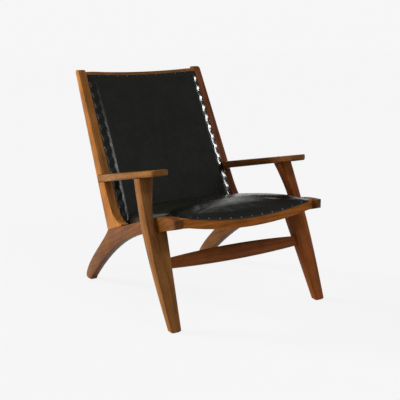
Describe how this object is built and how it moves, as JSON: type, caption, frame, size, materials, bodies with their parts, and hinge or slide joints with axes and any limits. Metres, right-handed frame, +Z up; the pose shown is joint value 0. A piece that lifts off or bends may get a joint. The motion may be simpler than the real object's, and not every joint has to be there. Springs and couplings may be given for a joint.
{
  "type": "low easy chair",
  "caption": "Low reclined easy chair: toed hardwood side frames with sloping arms and a swelled front stretcher, carrying padded leather seat and back panels edged with nails.",
  "frame": {"origin": "on the floor, under the middle of the bounding box", "axes": "+Z up, the sitter faces -Y, +X is to the sitter's left; X = 0 is the plane of symmetry"},
  "size_m": [0.6538, 0.763, 0.7895],
  "materials": {
    "rail_wood": "satin varnish",
    "dark_wood": "satin varnish",
    "orange_wood": "satin varnish",
    "inner_wood": "unfinished",
    "dowel_wood": "unfinished",
    "leather": "smooth, semi-gloss",
    "foam": "open-cell foam",
    "webbing": "woven",
    "lining_cloth": "matt cloth"
  },
  "bodies": {
    "root": {"right_side_rail": "rail_wood", "left_side_rail": "rail_wood", "right_back_upright": "dark_wood", "left_back_upright": "dark_wood", "right_front_leg": "dark_wood", "left_front_leg": "dark_wood", "right_arm": "dark_wood", "left_arm": "dark_wood", "right_seat_cleat": "inner_wood", "left_seat_cleat": "inner_wood", "right_back_stile": "inner_wood", "left_back_stile": "inner_wood", "right_upright_dowel_1": "dowel_wood", "left_upright_dowel_1": "dowel_wood", "right_upright_dowel_2": "dowel_wood", "left_upright_dowel_2": "dowel_wood", "right_leg_dowel_1": "dowel_wood", "left_leg_dowel_1": "dowel_wood", "right_leg_dowel_2": "dowel_wood", "left_leg_dowel_2": "dowel_wood", "right_arm_dowel": "dowel_wood", "left_arm_dowel": "dowel_wood", "right_arm_lap_dowel": "dowel_wood", "left_arm_lap_dowel": "dowel_wood", "front_stretcher": "dark_wood", "seat_front_rail": "orange_wood", "seat_rear_rail": "inner_wood", "back_top_rail": "orange_wood", "back_bottom_rail": "inner_wood", "seat_web_1": "webbing", "seat_web_2": "webbing", "seat_web_3": "webbing", "seat_web_4": "webbing", "seat_web_5": "webbing", "back_web_1": "webbing", "back_web_2": "webbing", "back_web_3": "webbing", "back_web_4": "webbing", "back_leather": "leather", "back_foam": "foam", "back_lining": "lining_cloth", "seat_leather": "leather", "seat_foam": "foam", "seat_lining": "lining_cloth"}
  },
  "joints": []
}
